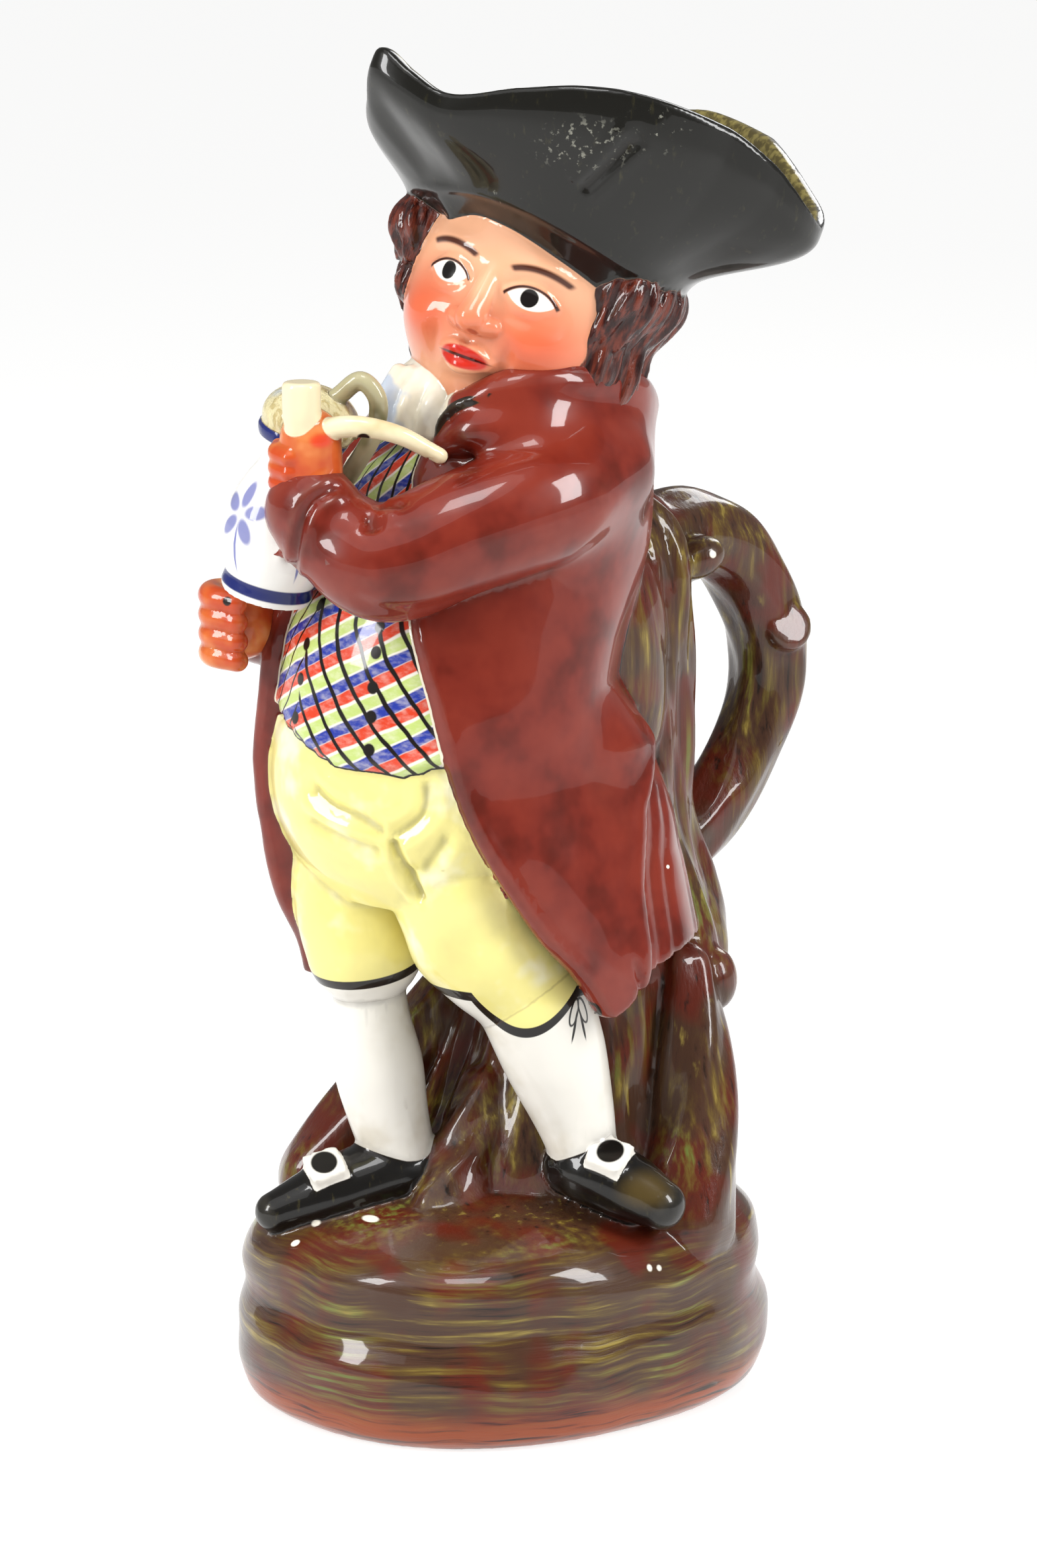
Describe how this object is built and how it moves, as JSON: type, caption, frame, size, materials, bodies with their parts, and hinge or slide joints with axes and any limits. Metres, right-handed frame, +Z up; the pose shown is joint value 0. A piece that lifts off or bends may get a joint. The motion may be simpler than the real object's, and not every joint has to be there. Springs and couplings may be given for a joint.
{
  "type": "toby jug",
  "caption": "Glazed earthenware toby jug of a standing man in a cocked hat with an ale jug and clay pipe, hollow and open at the hat, with a branch handle.",
  "frame": {"origin": "centre of the flat underside", "axes": "+Z up; -Y the way the spout of the hat points; +Y the handle side; +X the man's left"},
  "size_m": [0.113, 0.1481, 0.2919],
  "materials": {
    "glazed_earthenware": "gloss"
  },
  "bodies": {
    "root": {"toby_jug": "glazed_earthenware"}
  },
  "joints": []
}
